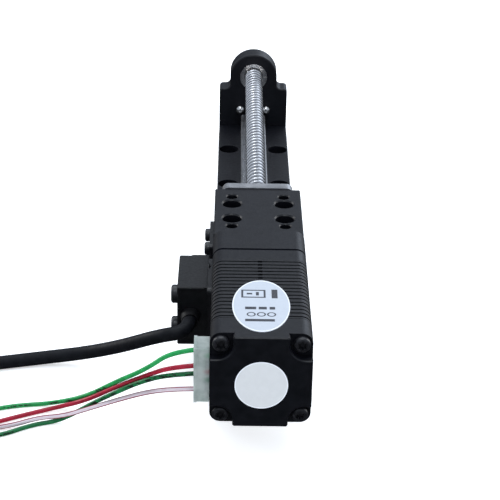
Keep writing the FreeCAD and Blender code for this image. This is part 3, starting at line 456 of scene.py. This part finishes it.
def pvc(name, a, b, marks=0.0, outline_shade=None, printed_to=0.0):
    """Wire insulation, with printed dashes where asked, and painted edge shade where asked: dark bands along the two
    sides that form the wire's outline seen from the camera.
    """
    g = G(name, Specular_IOR_Level=0.34)
    col = g.mix(g.range(g.noise(500, 3, 0.55), 0.35, 0.65, 0, 1), a, b)
    nx, ny, nz = g.normal()
    if marks:
        blob = g.noise(1.0, 2.5, 0.65, vec=g.scaled(900, 900, 2100))
        gaps = g.range(g.noise(1.0, 1, 0.5, vec=g.scaled(95, 95, 95, (0.4, 0.1, 0.7))), 0.47, 0.52, 0, 1)
        side = g.range(g.math("SUBTRACT", g.math("MULTIPLY", ny, -0.9), g.math("MULTIPLY", nz, 0.45)), 0.1, 0.35, 0, 1)
        on = g.math("MULTIPLY", g.math("MULTIPLY", g.range(blob, 0.49, 0.53, 0, 1), gaps), side)
        if printed_to:
            on = g.math("MULTIPLY", on, g.range(g.xyz()[0], printed_to - 1.5 * MM, printed_to + 1.5 * MM, 1, 0))
        col = g.mix(g.math("MULTIPLY", on, marks), col, (0.004, 0.01, 0.006))
    if outline_shade:
        # painted edge shade: dark bands where the surface faces across the camera's view
        edge = g.math("ABSOLUTE", g.math("ADD", g.math("MULTIPLY", ny, 0.44), g.math("MULTIPLY", nz, 0.9)))
        col = g.mix(g.range(edge, 0.56, 0.68, 0, 1), col, outline_shade)
    g.colour(col)
    g.rough(g.range(g.noise(1800, 3, 0.6), 0.3, 0.7, 0.3, 0.42))
    g.bump(g.noise(3000, 2, 0.5), 1e-5, 0.3)
    return g.m


def sheath(name):
    """Matt black cable jacket with a fine extruded grain."""
    g = G(name, Specular_IOR_Level=0.13)
    g.colour(g.mix(g.range(g.noise(420, 4, 0.6), 0.35, 0.65, 0, 1), (0.0034, 0.0039, 0.0058), (0.0060, 0.0067, 0.0092)))
    g.rough(g.range(g.noise(1600, 3, 0.6), 0.3, 0.7, 0.5, 0.64))
    g.bump(g.noise(1.0, 3, 0.6, vec=g.scaled(1600, 4200, 4200)), 2.2e-5, 0.5)
    return g.m


def label(name, rim_highlight=None, marks=False, base=(0.44, 0.475, 0.53)):
    """Printed film: clean pale face, a painted highlight along the edge, and plain bars where asked."""
    g = G(name, Specular_IOR_Level=0.3)
    x, y, z = g.xyz()
    col = g.mix(g.range(g.noise(900, 4, 0.6), 0.35, 0.65, 0, 1), base, tuple(c * 1.03 for c in base))
    if rim_highlight:
        (u, cu, ru), (v, cv, rv) = rim_highlight
        U = g.math("DIVIDE", g.math("SUBTRACT", (x, y, z)[u], cu), ru)
        W = g.math("DIVIDE", g.math("SUBTRACT", (x, y, z)[v], cv), rv)
        rad = g.math("SQRT", g.math("ADD", g.math("MULTIPLY", U, U), g.math("MULTIPLY", W, W)))
        # painted highlight: a much paler ring along the film's edge
        col = g.mix(g.range(rad, 0.955, 0.972, 0, 1), col, (0.72, 0.74, 0.78))
    if marks:
        ink = None
        mm = [g.math("MULTIPLY", g.math("SUBTRACT", c, o), 1000.0) for c, o in ((x, marks[0]), (y, marks[1]))]
        for cx, cy, hw, hh in marks[2]:
            dx = g.math("SUBTRACT", g.math("ABSOLUTE", g.math("SUBTRACT", mm[0], cx)), hw)
            dy = g.math("SUBTRACT", g.math("ABSOLUTE", g.math("SUBTRACT", mm[1], cy)), hh)
            on = g.range(g.math("MAXIMUM", dx, dy), -0.02, 0.02, 1.0, 0.0)
            ink = on if ink is None else g.math("MAXIMUM", ink, on)
        for cx, cy, r, w in marks[3]:
            dx, dy = g.math("SUBTRACT", mm[0], cx), g.math("SUBTRACT", mm[1], cy)
            d = g.math("SQRT", g.math("ADD", g.math("MULTIPLY", dx, dx), g.math("MULTIPLY", dy, dy)))
            on = g.range(g.math("SUBTRACT", g.math("ABSOLUTE", g.math("SUBTRACT", d, r)), w / 2), -0.02, 0.02, 1.0, 0.0)
            ink = g.math("MAXIMUM", ink, on)
        col = g.mix(g.math("MULTIPLY", ink, g.range(g.noise(6000, 2, 0.6), 0.25, 0.45, 0.75, 0.95)), col, (0.012, 0.012, 0.02))
    g.colour(col)
    g.rough(g.range(g.noise(1500, 3, 0.6), 0.3, 0.7, 0.42, 0.55))
    g.bump(g.noise(2500, 3, 0.6), 6e-6, 0.3)
    return g.m


BLACK_A = ((0.0022, 0.0025, 0.0045), (0.0042, 0.0046, 0.0074))
MATS = {
    "black_anodised": black_anodised("black_anodised", *BLACK_A, 0.36, 0.48),
    "motor_black": painted("motor_black", (0.0020, 0.0023, 0.0042), (0.0038, 0.0042, 0.0068), 0.34, 0.44),
    "lamination": laminated("lamination"),
    "rail_steel": steel("rail_steel", (0.46, 0.47, 0.49), (0.52, 0.53, 0.55), 0.26, 0.32, lines=3e-6),
    "bearing_steel": steel("bearing_steel", (0.50, 0.49, 0.48), (0.58, 0.57, 0.56), 0.16, 0.22, stretch=(2500, 2500, 2500), lines=1.0e-6),
    "screw_thread": threaded("screw_thread"),
    "screw_steel": steel("screw_steel", (0.66, 0.66, 0.67), (0.78, 0.78, 0.78), 0.16, 0.24, stretch=(2600, 2600, 2600), lines=2e-6),
    "nut_steel": steel("nut_steel", (0.30, 0.305, 0.32), (0.42, 0.425, 0.44), 0.3, 0.44, stretch=(300, 5200, 5200)),
    "black_steel": black_oxide("black_steel"),
    "copper": steel("copper", (0.36, 0.11, 0.04), (0.6, 0.24, 0.1), 0.2, 0.34, stretch=(900, 9000, 900)),
    "magnet": steel("magnet", (0.3, 0.3, 0.31), (0.46, 0.46, 0.47), 0.25, 0.4, stretch=(2500, 2500, 2500), blot=0.3),
    "label_white": label("label_white"),
    "plug_nylon": nylon("plug_nylon"),
    "black_plastic": plastic("black_plastic", (0.0030, 0.0031, 0.0042), (0.0055, 0.0056, 0.0070), 0.42, 0.54, spec=0.24),
    "green_plastic": plastic("green_plastic", (0.02, 0.16, 0.075), (0.035, 0.24, 0.11), 0.36, 0.5),
    "contact_tin": steel("contact_tin", (0.55, 0.53, 0.47), (0.74, 0.72, 0.66), 0.22, 0.38, stretch=(3500, 3500, 3500)),
    "circuit_board": plastic("circuit_board", (0.012, 0.09, 0.035), (0.022, 0.13, 0.05), 0.25, 0.4, grain=3000),
    "optic_plastic": plastic("optic_plastic", (0.05, 0.008, 0.012), (0.09, 0.014, 0.02), 0.12, 0.22, grain=2500, depth=8e-6),
    "rubber_black": plastic("rubber_black", (0.0028, 0.0028, 0.0036), (0.0050, 0.0050, 0.0060), 0.46, 0.6, grain=4500, depth=2.5e-5, spec=0.16),
    "cable_black": sheath("cable_black"),
    "wire_green_pvc": pvc("wire_green_pvc", (0.006, 0.24, 0.055), (0.010, 0.31, 0.075), marks=0.95, printed_to=-29 * MM),
    "wire_red_pvc": pvc("wire_red_pvc", (0.30, 0.004, 0.022), (0.38, 0.007, 0.032)),
    # the white wire's dark red bands are painted edge shade along its outline
    "wire_white_pvc": pvc("wire_white_pvc", (0.60, 0.50, 0.54), (0.68, 0.58, 0.62), outline_shade=(0.20, 0.012, 0.035)),
    "wire_dark_green_pvc": pvc("wire_dark_green_pvc", (0.003, 0.11, 0.032), (0.005, 0.16, 0.045), marks=0.95),
    "tie_nylon": plastic("tie_nylon", (0.66, 0.66, 0.64), (0.76, 0.76, 0.74), 0.35, 0.48, grain=2500, Subsurface_Weight=0.2, Subsurface_Scale=0.001),
    "spring_steel": steel("spring_steel", (0.4, 0.4, 0.42), (0.56, 0.56, 0.58), 0.22, 0.36),
    "insulator": plastic("insulator", (0.6, 0.56, 0.44), (0.7, 0.67, 0.55), 0.4, 0.55),
}
lo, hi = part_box("rear_label")
# joint=: painted shade along the cap-to-mount joint, by fading the sheen
MATS["motor_mount"] = black_anodised("mount_black", *BLACK_A, 0.36, 0.48, joint=(-80.3, 0.42))
MATS["motor_front_cap"] = painted("front_cap_black", (0.0020, 0.0023, 0.0042), (0.0038, 0.0042, 0.0068), 0.34, 0.44, joint=(-80.3, 0.42))
# the ring near each label's edge is a painted highlight
MATS["rear_label"] = label("label_rear", base=(0.55, 0.56, 0.565), rim_highlight=((0, (lo.x + hi.x) / 2, (hi.x - lo.x) / 2), (2, (lo.z + hi.z) / 2, (hi.z - lo.z) / 2)))
lo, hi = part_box("top_label")
BARS = [(-1.5, 6.4, 2.45, 0.22), (-1.5, 3.4, 2.45, 0.22), (-3.75, 4.9, 0.2, 1.5), (0.75, 4.9, 0.2, 1.5), (-2.3, 4.9, 0.55, 0.35), (-0.7, 4.9, 0.3, 0.75),
        (2.75, 4.9, 0.6, 1.9),
        (-2.1, -1.2, 1.1, 0.55), (0.3, -1.2, 0.8, 0.55), (2.2, -1.2, 0.55, 0.55), (-0.3, -6.2, 2.9, 0.5)]
RINGS = [(-2.0, -3.8, 0.75, 0.3), (0.0, -3.8, 0.75, 0.3), (2.0, -3.8, 0.75, 0.3)]
MATS["top_label"] = label("label_top", marks=((lo.x + hi.x) / 2, (lo.y + hi.y) / 2, BARS, RINGS), rim_highlight=((0, (lo.x + hi.x) / 2, (hi.x - lo.x) / 2), (1, (lo.y + hi.y) / 2, (hi.y - lo.y) / 2)))


def give(ob, mat):
    if len(ob.material_slots) == 0:
        ob.data.materials.append(mat)
    for s in ob.material_slots:
        s.link = "DATA"
        s.material = mat


for sub in frame["record"]["subparts"]:
    ob = N[sub["node"]]
    give(ob, MATS.get(sub["node"]) or MATS[sub["material_slot"]])
give(cable, MATS["cable_black"])
for name, w in wires.items():
    give(w, MATS[name + "_pvc"])
give(screw, MATS["screw_thread"])

# ---------------------------------------------------------------- floor, light
bpy.ops.mesh.primitive_plane_add(size=6.0, location=(0, 0, 0.0))
floor = bpy.context.object
floor.name = "floor"
g = G("floor", Specular_IOR_Level=0.1)
g.colour(g.mix(g.noise(3, 2, 0.5), (0.9, 0.9, 0.9), (0.915, 0.915, 0.915)))
g.b.inputs["Roughness"].default_value = 0.9
g.b.inputs["Emission Color"].default_value = (1.0, 1.0, 1.0, 1.0)
g.b.inputs["Emission Strength"].default_value = 0.5
give(floor, g.m)
floor.visible_glossy = False


def area(name, loc, target, size, power, size_y=None, colour=(1, 1, 1)):
    ld = bpy.data.lights.new(name, "AREA")
    ld.shape = "RECTANGLE"
    ld.size = size
    ld.size_y = size_y or size
    ld.energy = power
    ld.color = colour
    ob = bpy.data.objects.new(name, ld)
    scene.collection.objects.link(ob)
    ob.location = loc
    ob.rotation_mode = "QUATERNION"
    ob.rotation_quaternion = (Vector(target) - Vector(loc)).to_track_quat("-Z", "Y")
    return ob


area("top", (0.0, 0.30, 0.85), (0, -0.03, 0), 0.8, 5.5, colour=(0.88, 0.94, 1.0))
area("key", (0.0, -0.45, 0.86), (0, -0.05, 0.01), 0.28, 2.0, colour=(0.92, 0.96, 1.0))
area("left", (-0.75, 0.40, 0.30), (0, -0.04, 0.02), 0.2, 4.0, 0.5)
area("right", (0.75, 0.40, 0.30), (0, -0.04, 0.02), 0.2, 4.0, 0.5)

world = bpy.data.worlds.new("studio")
scene.world = world
world.use_nodes = True
wt = world.node_tree
bg = next(n for n in wt.nodes if n.type == "BACKGROUND")
wtc = wt.nodes.new("ShaderNodeTexCoord")
wsep = wt.nodes.new("ShaderNodeSeparateXYZ")
wt.links.new(wtc.outputs["Generated"], wsep.inputs[0])


def wrange(v, a, b, c, d):
    n = wt.nodes.new("ShaderNodeMapRange")
    n.interpolation_type = "SMOOTHSTEP"
    wt.links.new(v, n.inputs["Value"])
    for k, x in zip(("From Min", "From Max", "To Min", "To Max"), (a, b, c, d)):
        n.inputs[k].default_value = x
    return n.outputs[0]


def wmath(op, a, b):
    n = wt.nodes.new("ShaderNodeMath")
    n.operation = op
    wt.links.new(a, n.inputs[0])
    wt.links.new(b, n.inputs[1])
    return n.outputs[0]


# dark below the horizon, bright above it, brightest overhead, a little dimmer at the back
up = wrange(wsep.outputs[2], -0.02, 0.22, 0.09, 1.0)
back = wrange(wsep.outputs[1], -0.2, 0.9, 0.76, 0.40)
side = wmath("MULTIPLY", wrange(wsep.outputs[0], 0.12, 0.30, 0.0, 1.8), wrange(wsep.outputs[1], 0.5, 0.9, 0.0, 1.0))
back = wmath("ADD", back, side)
over = wrange(wsep.outputs[2], 0.5, 1.0, 1.0, 1.2)
wt.links.new(wmath("MULTIPLY", wmath("MULTIPLY", up, back), over), bg.inputs["Strength"])
bg.inputs["Color"].default_value = (0.78, 0.87, 1.0, 1)
